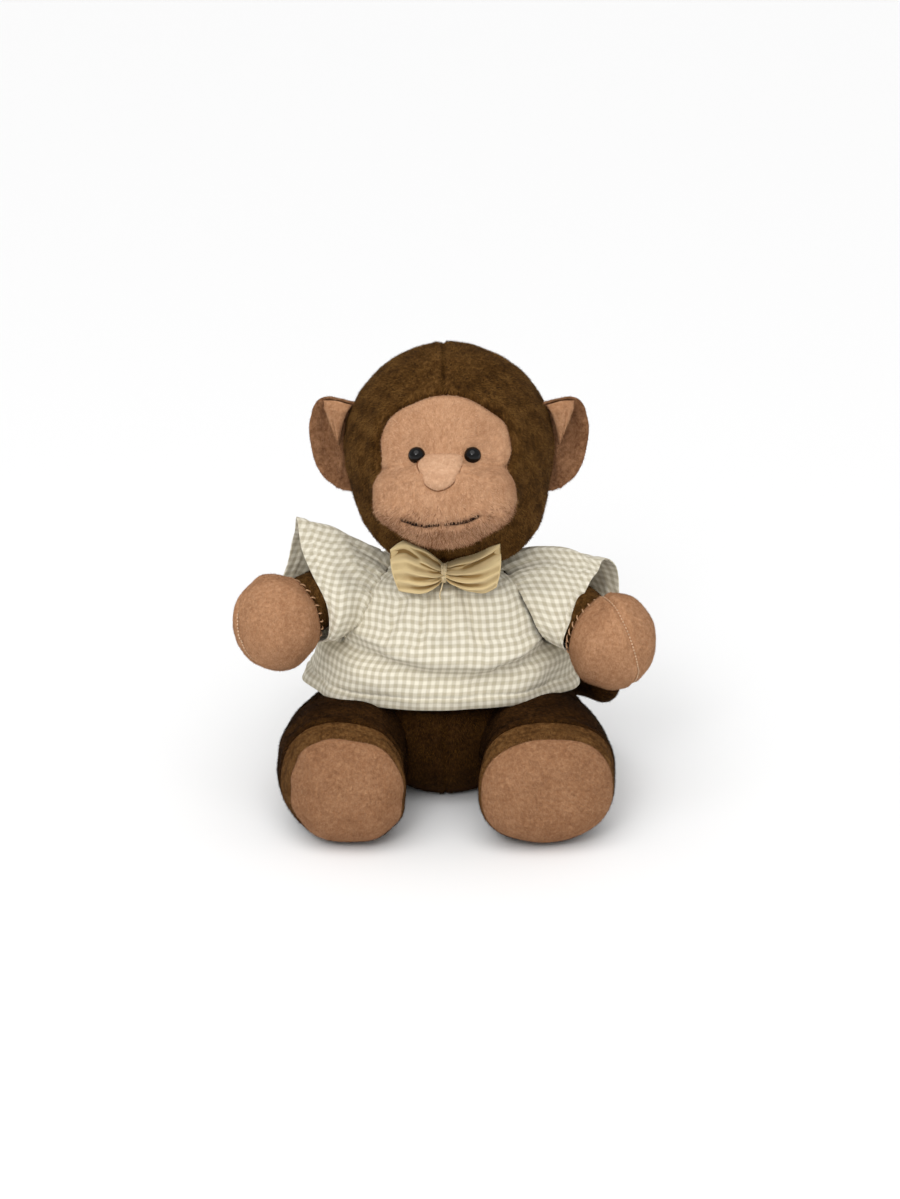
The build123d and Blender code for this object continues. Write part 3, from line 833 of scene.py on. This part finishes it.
def leg_section(s, turn, side):
    """Distance from the leg's axis to its skin: an oval that is widest behind the foot."""
    s, turn = s[:, None], turn[None, :]
    up, out = np.cos(turn), -side * np.sin(turn)
    place = np.clip(s, 0, 66)
    high = np.where(up > 0, np.interp(place, LEG_ALONG, LEG_UP), np.interp(place, LEG_ALONG, LEG_DOWN))
    outer, inner = (np.interp(place, LEG_ALONG, v[side]) for v in (LEG_OUT, LEG_IN))
    wide = np.where(out > 0, outer, inner)
    power = 2.35
    r = (np.abs(up / high) ** power + np.abs(out / wide) ** power) ** (-1 / power)
    root = np.sqrt(np.clip(1 - (np.minimum(s, 0) / 26.5) ** 2, 0, 1))
    past = np.clip((s - 50.0) / (LEG_END - 50.0), 0, 1)
    at_sole = np.clip((66.0 - 50.0) / (LEG_END - 50.0), 0, 1)
    crown = ((1 - past ** 3.0) / (1 - at_sole ** 3.0)) ** (1 / 3.0)
    return r * root * np.where(s > 66, crown, 1.0)


def build_leg(name, side):
    body = f"leg_{name}"
    origin, axes, _ = limb_frame(side, HIP, FOOT)
    cols = 160
    turn = turns(cols)
    instep_line, sole_line = 54.0, LEG_ALONG[-1]

    def radii(s, lines):
        r = leg_section(s, turn, side)
        for place in lines:
            r = r - 1.5 * bump(s - place, 1.1)[:, None] + 0.5 * bump(np.abs(s - place) - 3.5, 2.2)[:, None]
        return r + 0.45 * ripple(skin_places(s, turn, 28), 17, 71 + side)

    def flat_on_floor(grid):
        grid = grid.copy()
        grid[..., 2] = np.maximum(grid[..., 2], 0.3 + 0.02 * np.abs(grid[..., 2] - 0.3))
        return grid

    s = np.linspace(-25.8, instep_line, 80)
    r = radii(s, (instep_line,))
    outer = ((turn - math.radians(90 * side) + math.pi) % (2 * math.pi) - math.pi) * 28
    r = r + 0.7 * bump(outer, 1.2) * smooth(s, 0, 10)[:, None]
    grid = flat_on_floor(around(origin, axes, s, r, cols))
    upper = grid_object(f"leg_{name}_plush", grid, wrap=True, tip_first=True)
    dress(upper, body, LEG_BROWN, [f"leg_{name}_upper"])
    s = np.linspace(instep_line, sole_line, 26)
    grid = flat_on_floor(around(origin, axes, s, radii(s, (instep_line, sole_line)), cols))
    band = grid_object(f"instep_{name}_plush", grid, wrap=True)
    dress(band, body, INSTEP, [f"leg_{name}_instep"])
    s = sole_line + (LEG_END - sole_line) * np.sin(np.linspace(0, math.pi / 2, 60))
    r = radii(s, (sole_line,))
    r[-1] = 0.5
    grid = around(origin, axes, s, np.maximum(r, 0.5), cols)
    sole = grid_object(f"sole_{name}_plush", flat_on_floor(grid), wrap=True, tip_last=True)
    dress(sole, body, SOLE, [f"leg_{name}_sole", f"leg_{name}_stuffing"])

    def leg_nap(p):
        return unit(np.tile(axes[2] * 0.6 + np.array((0, 0, -0.5)), (len(p), 1)))

    def sole_nap(p):
        return unit(np.stack([np.full(len(p), 0.6 * side), np.zeros(len(p)), -np.ones(len(p))], 1))

    fibres(f"leg_{name}_pile", upper, body, 4.2, 1.8, 0.22, leg_nap, LEG_HAIRS, 80 + side)
    fibres(f"instep_{name}_pile", band, body, 5.5, 1.7, 0.2, leg_nap, INSTEP_HAIRS, 84 + side)

    def ribs(p):
        """Diagonal rows where the backing shows, on the outer half of the right foot."""
        row = 0.5 + 0.5 * np.sin(2 * math.pi * (0.72 * p[:, 0] + p[:, 2]) / 2.3)
        worn = smooth(p[:, 0], 40, 58) * smooth(p[:, 2], 46, 34) if side > 0 else np.zeros(len(p))
        return 1 - 0.85 * row ** 2 * worn

    fibres(f"sole_{name}_pile", sole, body, 6.0, 1.3, 0.18, sole_nap, SOLE_HAIRS, 88 + side, where=ribs)


# ---------------------------------------------------------------- torso and tail

def build_torso():
    cols = 160
    turn = turns(cols)
    z = np.concatenate([[0.4], np.linspace(0.8, 60, 60), np.linspace(61, 122, 40)])
    belly = np.sqrt(np.clip(46.5 ** 2 - (z - 41.5) ** 2, 0, None))
    chest = np.sqrt(np.clip(25.5 ** 2 - (z - 100) ** 2, 0, None))
    cone = 46.5 - (z - 41.5) * 0.36
    r = np.where(z < 54, belly, np.where(z > 108, chest, np.minimum(cone, 46.5)))
    front = (turn - 1.5 * math.pi) * 40
    grid = np.stack([r[:, None] * np.cos(turn), 14 + r[:, None] * np.sin(turn), z[:, None] + 0 * turn], -1)
    dip = -2.4 * bump(front, 1.1) + 0.8 * bump(np.abs(front) - 3.5, 2.2)
    out = np.stack([np.cos(turn), np.sin(turn), 0 * turn], -1)
    grid = grid + dip[None, :, None] * out
    torso = grid_object("torso_plush", grid, wrap=True, tip_first=True, tip_last=True)
    dress(torso, "torso", LEG_BROWN,
          ["torso_skin_left", "torso_skin_right", "seat_panel", "torso_stuffing", "bean_bag"])

    def nap(p):
        return np.tile((0, 0.0, -1.0), (len(p), 1))

    fibres("torso_pile", torso, "torso", 3.6, 1.8, 0.22, nap, LEG_HAIRS, 90, where=lambda p: p[:, 2] < 64)


def build_tail():
    a, b, c = (np.array(p, float) for p in ((20, 52, 24), (57, 58, 36), (83, 30, 43)))
    t = np.linspace(0, 1, 60)
    path = spline([a, (38, 59, 30), b, (73, 47, 40), c], t)
    along = unit(np.gradient(path, axis=0))
    side = unit(np.cross(along, (0, 0, 1.0)))
    up = np.cross(side, along)
    radius = 8.6 - 0.8 * t
    tip = path[-1] + along[-1] * (8 * np.sin(np.linspace(0, math.pi / 2, 12)))[1:, None]
    path = np.vstack([path, tip])
    radius = np.concatenate([radius, 7.8 * np.cos(np.linspace(0, math.pi / 2, 12))[1:]])
    side = np.vstack([side, np.tile(side[-1], (11, 1))])
    up = np.vstack([up, np.tile(up[-1], (11, 1))])
    turn = turns(48)
    radius = np.maximum(radius, 0.3)[:, None] - 0.7 * bump((turn - math.pi) * 8, 1.0)
    grid = path[:, None] + radius[..., None] * (side[:, None] * np.cos(turn)[None, :, None]
                                                + up[:, None] * np.sin(turn)[None, :, None])
    tail = grid_object("tail_plush", grid, wrap=True, tip_first=True, tip_last=True)
    dress(tail, "tail", LEG_BROWN, ["tail_skin", "tail_stuffing"])

    def nap(p):
        return np.tile(unit(np.array((0.8, -0.2, 0.1))), (len(p), 1))

    fibres("tail_pile", tail, "tail", 4.5, 1.8, 0.22, nap, LEG_HAIRS, 94)


# ---------------------------------------------------------------- shirt

SHIRT_Z = (56, 66, 76, 86, 96, 106, 114, 120, 124, 126.5)
SHIRT_WIDE = (69.5, 66, 63, 61.5, 59.5, 55.5, 48.5, 40, 32, 26)
SHIRT_FRONT = (52, 53.5, 53.5, 52.5, 50.5, 47.5, 43.5, 39, 34, 28)
SHIRT_BACK = (53, 53, 51.5, 49, 45.5, 40.5, 35.5, 30.5, 26, 22)
FOLD_LEFT = [(-34, 126), (-38, 118), (-42, 111), (-45.5, 103), (-50, 95), (-58, 90)]
FOLD_RIGHT = [(31, 125), (37.5, 117), (44, 107), (51, 96), (58, 90)]
BELLY_FOLD = [(60, 96), (50, 90), (40, 84.5), (27, 80)]
SMILE = [(-70, 94), (-60, 92), (-44, 90), (-25, 87), (-5, 82.5), (15, 80), (35, 83), (50, 89), (60, 93),
         (70, 94)]
HEM_DEEP = 6.2
CLOTH_THICK = 0.7
ARMHOLE_R = 21.3
BACK_SLIT = 0.006
SIDE_FOLD = [(-60, 93), (-46, 91), (-34, 90), (-20, 89.5)]
PLEATS = [[(-7, 117), (-10, 106), (-12, 94)], [(9, 117), (13, 106), (16, 96)], [(1, 114), (2, 106), (2, 100)],
          [(-20, 112), (-25, 103), (-28, 96)]]


def shirt_point(turn, z):
    """The shirt's own surface; turn is 0 at the middle of the front, + to the right."""
    wide, front, back = (np.interp(z, SHIRT_Z, v) for v in (SHIRT_WIDE, SHIRT_FRONT, SHIRT_BACK))
    soft = 0.94
    x = wide * np.sign(np.sin(turn)) * np.abs(np.sin(turn)) ** soft
    depth = np.where(np.cos(turn) > 0, front, back)
    y = 13 - depth * np.sign(np.cos(turn)) * np.abs(np.cos(turn)) ** soft
    return np.stack([x + 1.0 - 3.5 * smooth(z, 92, 60), y, z + 0 * turn], -1)


def shirt_surface(turn, height):
    """height runs from 0 at the hem to 1 at the neckline."""
    side = np.sin(turn)
    hem = 59.8 - 2.0 * side ** 2 + 0.6 * np.sin(3 * turn + 0.6) - 0.8 * smooth(-np.cos(turn), 0, 0.4)
    top = 124.5 - 0.8 * np.cos(turn) ** 2 * (np.cos(turn) < 0) - 1.5 * side ** 2
    z = hem + (top - hem) * height
    p = shirt_point(turn, np.clip(z, 56, 126.5))
    ring = np.stack([1 + 26.0 * side, 8.5 - 25.5 * np.cos(turn)], -1)
    p[..., :2] += 0.9 * smooth(height, 0.88, 1.0)[..., None] * (ring - p[..., :2])
    p[..., 2] = z
    out = np.stack([np.sin(turn), -np.cos(turn), 0 * turn], -1)
    flat = p[..., [0, 2]]
    front = smooth(np.cos(turn), -0.25, 0.1)
    push = np.zeros(z.shape)
    for line, deep, wide in ((FOLD_LEFT, 2.2, 4.5), (FOLD_RIGHT, 3.0, 4.5),
                             (BELLY_FOLD, 2.2, 2.6), (SIDE_FOLD, 1.4, 2.2)):
        push -= front * deep * bump(line_distance(flat, line), wide)
    over = z - np.interp(flat[..., 0], *np.array(SMILE, float).T)
    push += front * (2.6 * bump(over - 3.0, 4.5) - 4.4 * bump(over + 6.0, 4.5) + 1.2 * bump(over + 17.0, 6.0))
    for line in PLEATS:
        away = line_distance(flat, line)
        push += front * (0.9 * bump(away - 4.2, 2.6) - 1.5 * bump(away, 1.9))
    low = smooth(z, 84, 57)
    push += low * 1.9 * np.sin(9 * turn + 1.0 + 0.02 * z) * (0.5 + 0.5 * side ** 2)
    push += 1.0 * np.sin(34 * turn) * smooth(z, 113, 124) + 0.7 * np.sin(23 * turn + 1) * smooth(z, 106, 122)
    push += 0.9 * ripple(p, 24, 101) + 0.35 * ripple(p, 10, 102)
    band = z - hem
    push += -0.9 * bump(band - HEM_DEEP, 0.8) + 0.5 * (band < HEM_DEEP)
    push += 0.25 * np.sin(70 * turn) * bump(band - HEM_DEEP, 2.5)
    return p + out * push[..., None]


def flat_coordinates(grid):
    """How far each point of a cloth grid is along its rows and up its columns, in mm."""
    along = np.linalg.norm(np.diff(grid, axis=1), axis=-1)
    u = np.concatenate([np.zeros((grid.shape[0], 1)), np.cumsum(along, 1)], 1)
    u = u - u[:, [u.shape[1] // 2]]
    up = np.linalg.norm(np.diff(grid, axis=0), axis=-1)
    v = np.concatenate([np.zeros((1, grid.shape[1])), np.cumsum(up, 0)], 0)
    return np.stack([u, v], -1).reshape(-1, 2)


def cloth_piece(name, grid, body, nodes):
    obj = grid_object(name, grid, uv=flat_coordinates(grid))
    dress(obj, body, CHECK, nodes)
    solid = obj.modifiers.new("thickness", "SOLIDIFY")
    solid.thickness = CLOTH_THICK * MM
    solid.offset = -1.0
    return obj


def cut_hole(obj, origin, axes, radius):
    """Take out the faces round an arm's axis."""
    mesh = obj.data
    centres = np.empty(len(mesh.polygons) * 3)
    mesh.polygons.foreach_get("center", centres)
    local = (centres.reshape(-1, 3) / MM - origin) @ axes.T
    inside = (np.hypot(local[:, 0], local[:, 1]) < radius) & (local[:, 2] > 0)
    bm = bmesh.new()
    bm.from_mesh(mesh)
    bm.faces.ensure_lookup_table()
    bmesh.ops.delete(bm, geom=[bm.faces[i] for i in np.nonzero(inside)[0]], context="FACES")
    bm.to_mesh(mesh)
    bm.free()


SLEEVES = {
    "left": {
        "root": [(-30, 5, 126), (-32.5, -8, 122.8), (-38, -19, 114), (-44.5, -25, 104), (-50, -24, 94),
                 (-55, -6, 86), (-55, 14, 89), (-50, 30, 100), (-42, 29, 112), (-33, 18, 123)],
        "middle": [(-52, 5, 138), (-52, -5, 131), (-50.5, -19, 120), (-50, -30, 108), (-52, -30, 95),
                   (-60, -8, 86), (-67, 8, 90), (-68, 24, 104), (-62, 24, 120), (-55, 16, 132)],
        "cuff": [(-73.2, 3, 145), (-70.5, -7, 133), (-64.5, -18, 122), (-57.5, -27, 109), (-57.5, -28, 94),
                 (-68, -12, 86), (-79, 4, 90), (-83, 15, 104), (-79.5, 17, 118), (-75.5, 13, 132)],
    },
    "right": {
        "root": [(31, 5, 125.5), (33, -8, 122), (39, -19, 113), (45, -27, 103), (51, -27, 93), (55, -8, 84),
                 (56, 14, 86), (51, 30, 97), (43, 29, 110), (36, 18, 121)],
        "middle": [(54, 4, 129), (54, -7, 125), (53, -20, 116), (52, -29, 105), (54, -30, 92), (62, -10, 82),
                   (70, 8, 85), (72, 22, 98), (66, 22, 113), (58, 15, 124)],
        "cuff": [(78.5, 0, 124), (75, -9, 120.5), (68, -20, 113.5), (61.5, -28, 102), (58.3, -30, 90),
                 (69, -15, 78), (81, 2, 80), (88, 12, 92), (88, 14, 106), (85, 10, 118)],
    },
}


def on_shirt(points):
    """The nearest points of the shirt, a little inside it."""
    turn = np.linspace(-math.pi, math.pi, 300)[None, :]
    rows = np.linspace(0, 1, 90)[:, None]
    shirt = (shirt_surface(turn + 0 * rows, rows + 0 * turn) * np.array((0.985, 0.985, 1))).reshape(-1, 3)
    return np.array([shirt[np.argmin(((shirt - p) ** 2).sum(1))] for p in points])


def sleeve_grid(name, side):
    loops = SLEEVES[name]
    turn = np.linspace(0, 1, 181)
    rings = np.stack([spline(loops[k], turn, closed=True) for k in ("root", "middle", "cuff")])
    loose = {"left": 0.0, "right": 0.55}[name] * smooth(rings[0][:, 2], 118, 112)
    hold = (1 - loose) * smooth(rings[0][:, 1], 9, 0) * smooth(rings[0][:, 2], 131, 126)
    rings[0] += hold[:, None] * (on_shirt(rings[0]) - rings[0])
    t = np.linspace(0, 1, 56)
    grid = np.stack([spline(rings[:, j], t) for j in range(rings.shape[1])], 1)
    middle = grid.mean(axis=1, keepdims=True)
    out = unit(grid - middle)
    angle = 2 * math.pi * turn[None, :]
    up_sleeve = 1 - t[:, None]
    fold = 1.2 * np.sin(5 * angle + 0.8 + side) * up_sleeve ** 0.8 + 0.7 * np.sin(9 * angle + 1.7) * up_sleeve
    fold = fold + 0.8 * ripple(grid, 15, 120 + side) * smooth(t, 0, 0.2)[:, None]
    hem = t[:, None] * 30
    fold = fold - 0.5 * bump(hem - 24.5, 0.8) + 0.3 * (hem > 24.5)
    return grid + out * fold[..., None]


def build_shirt():
    rows = np.linspace(0, 1, 110)[:, None]
    parts = {
        "shirt_front_panel": (-math.pi / 2, math.pi / 2, 260, ["shirt_front"]),
        "shirt_back_panel_right": (math.pi / 2, math.pi - BACK_SLIT, 130, ["shirt_back_right"]),
        "shirt_back_panel_left": (-math.pi + BACK_SLIT, -math.pi / 2, 130, ["shirt_back_left"]),
    }
    for name, (low, high, cols, nodes) in parts.items():
        turn = np.linspace(low, high, cols)[None, :]
        grid = shirt_surface(turn + 0 * rows, rows + 0 * turn)
        obj = cloth_piece(name, grid, "torso", nodes)
        face_outward(obj)
        for side_name, side in SIDES:
            origin, axes, _ = frame_along((side * SHOULDER[0], SHOULDER[1], SHOULDER[2]), HANDS[side_name])
            cut_hole(obj, origin, axes, ARMHOLE_R)
    for name, side in SIDES:
        grid = sleeve_grid(name, side)
        obj = cloth_piece(f"sleeve_{name}_cloth", grid, None, [f"sleeve_{name}"])
        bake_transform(obj)
    build_neckband()


def face_outward(obj):
    """Turn an open shell's faces away from the body's upright axis."""
    mesh = obj.data
    normal = np.empty(len(mesh.polygons) * 3)
    centre = np.empty(len(mesh.polygons) * 3)
    mesh.polygons.foreach_get("normal", normal)
    mesh.polygons.foreach_get("center", centre)
    centre = centre.reshape(-1, 3) - np.array((0, 13 * MM, 0))
    centre[:, 2] = 0
    if (normal.reshape(-1, 3) * centre).sum() < 0:
        mesh.flip_normals()


def build_neckband():
    turn = np.linspace(0, 2 * math.pi, 241)
    profile = turns(16)
    wide = 25.6 + 0.6 * np.sin(34 * turn)[:, None] + 1.0 * np.cos(profile)
    tall = 2.3 * np.sin(profile) + 0 * wide
    x = 1 + wide * np.sin(turn)[:, None]
    y = 8 - wide * np.cos(turn)[:, None] * 0.95
    tilt = math.tan(math.radians(7))
    z = 124.6 + tall + (y - 8) * tilt
    grid = np.stack([x, y, z], -1)
    uv = np.stack([turn[:, None] * 25 + 0 * wide, 4 * profile + 0 * wide], -1).reshape(-1, 2)
    obj = grid_object("neckband_cloth", grid, wrap=True, uv=uv)
    dress(obj, "torso", CHECK, ["shirt_neckband"])


# ---------------------------------------------------------------- bow tie

BOW_EDGES = {
    -1: ([(-0.5, 131.4), (-4.5, 135.5), (-9, 139.6), (-14.3, 142), (-20, 143.4), (-26.4, 138.8)],
         [(-0.5, 124.9), (-4.3, 121.2), (-8, 118.6), (-12, 117.6), (-17, 117.8), (-22.2, 118.6)]),
    1: ([(-0.5, 131.4), (4.3, 133.9), (9, 136), (14, 137.6), (20, 139.8), (26.6, 141.8)],
        [(-0.5, 124.9), (4, 121.6), (9, 118.9), (14, 117.8), (19.5, 117.4), (25, 120.4)]),
}


def bow_lobe(side):
    """A flattened tube of cloth that spreads from the waist, with pleats from the thread."""
    u = np.linspace(0, 1, 60)
    top, low = (spline(e, u) for e in BOW_EDGES[side])
    end = bump(1 - u, 0.12)[:, None]
    w = np.linspace(0, 1, 44)
    loop = np.concatenate([w, w[::-1][1:-1]])[None, :]
    front = np.concatenate([np.ones(44), -np.ones(42)])[None, :]
    x = low[:, :1] * (1 - loop) + top[:, :1] * loop
    x = x + side * 1.2 * end * np.sin(math.pi * loop)
    z = low[:, 1:] * (1 - loop) + top[:, 1:] * loop
    share = u[:, None]
    puff = (2.0 + 5.0 * np.sin(math.pi * share ** 0.8) ** 0.8) * np.sin(math.pi * loop) ** 0.6
    puff = puff * (0.55 + 0.45 * (front > 0)) + 0.35
    wave = 1 - 2 * np.abs(np.sin(math.pi * (4.3 * loop + 0.2 * side + 0.12 * share)))
    pleat = 3.0 * wave * smooth(share, 0.02, 0.15) * (1 - share) ** 0.8
    pleat = pleat + 0.6 * np.cos(2 * math.pi * (7.5 * loop + 0.3)) * bump(share - 0.15, 0.25)
    crease = -3.0 * bump(loop - 0.6 - 0.25 * share, 0.06) * smooth(share, 0.25, 0.6)
    crease = crease - 1.2 * bump(loop - 0.3 + 0.2 * share, 0.06) * smooth(share, 0.1, 0.4) * (1 - share)
    y = -31.0 + 3.0 * smooth(loop, 0.55, 1.0)
    y = y - front * puff * (1 - 0.75 * end) - (pleat + crease) * (front > 0)
    return np.stack([x, y + 0 * x, z], -1)


def build_bow():
    for name, side in SIDES:
        obj = grid_object(f"bow_{name}_lobe", bow_lobe(side), wrap=True, tip_first=True, tip_last=True)
        dress(obj, "bow_tie", BOW_CLOTH_PAINTED_SHADE, ["bow_tie_fabric"])
    turn = np.linspace(0, 2 * math.pi, 40)
    wraps = []
    for k in range(4):
        x = -1.4 + 0.62 * k
        slant = 0.5 * (k - 1.5)
        y, z = -31.4 - 3.6 * np.cos(turn), 128 + 4.5 * np.sin(turn)
        wraps.append(np.stack([x + slant * 0.3 * np.sin(turn), y, z], -1))
    loose_end = [(-0.9, -34.2, 124.2), (-1.6, -35.4, 121.5), (-2.4, -36.0, 118.5), (-2.0, -36.6, 115.8)]
    wraps.append(spline(loose_end, np.linspace(0, 1, 14)))
    thread = tube_object("bow_thread_wraps", wraps, 0.36, 6)
    dress(thread, "bow_tie", CREAM, ["bow_tie_thread"])


# ---------------------------------------------------------------- the rest

def finish_hidden_nodes():
    """Inner pieces stay as they are, with their own materials."""
    looks = {"neck_seam": DARK, "closure_loop_tape": TAPE, "closure_hook_tape": TAPE}
    for name in ("left", "right"):
        looks[f"eye_washer_{name}"] = WASHER
    for name, mat in looks.items():
        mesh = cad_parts[name].data
        mesh.materials.clear()
        mesh.materials.append(mat)


def place_in_scene(name, data, location, pitch, turn):
    """Put a light or a camera in the scene, pitched up from straight down."""
    obj = bpy.data.objects.new(name, data)
    bpy.context.scene.collection.objects.link(obj)
    obj.location = location
    obj.rotation_euler = (math.radians(pitch), 0, math.radians(turn))
    return obj


def build_stage():
    bpy.ops.mesh.primitive_plane_add(size=40, location=(0, 0, 0))
    floor = bpy.context.object
    floor.name = "floor"
    floor.data.materials.append(plain("floor", (248, 248, 248), 0.9, 0.0))
    scene = bpy.context.scene
    scene.view_settings.view_transform = "Standard"
    world = bpy.data.worlds.new("soft white")
    scene.world = world
    world.use_nodes = True
    sky = world.node_tree.nodes["Background"]
    sky.inputs["Color"].default_value = (1.0, 1.0, 1.0, 1)
    sky.inputs["Strength"].default_value = 0.58
    for turn, rise, power, spread in ((-12, 58, 1.6, 60), (35, 30, 0.2, 80)):
        light = bpy.data.lights.new("soft box", "SUN")
        light.energy = power
        light.angle = math.radians(spread)
        place_in_scene("soft box", light, (0, 0, 0), 90 - rise, turn)
    light = bpy.data.lights.new("catch light", "AREA")
    light.size = 0.25
    light.energy = 2.0
    place_in_scene("catch light", light, (-0.2, -0.9, 0.7), 60, -12)
    camera = bpy.data.cameras.new("camera")
    camera.sensor_width = 36
    camera.lens = 60.05
    scene.camera = place_in_scene("camera", camera, (0.0025, -0.9397, 0.4450), 70, 0)


build_head()
for side_name, side_sign in SIDES:
    build_ear(side_name, side_sign)
    build_arm(side_name, side_sign)
    build_leg(side_name, side_sign)
build_torso()
build_tail()
build_shirt()
build_bow()
finish_hidden_nodes()
build_stage()
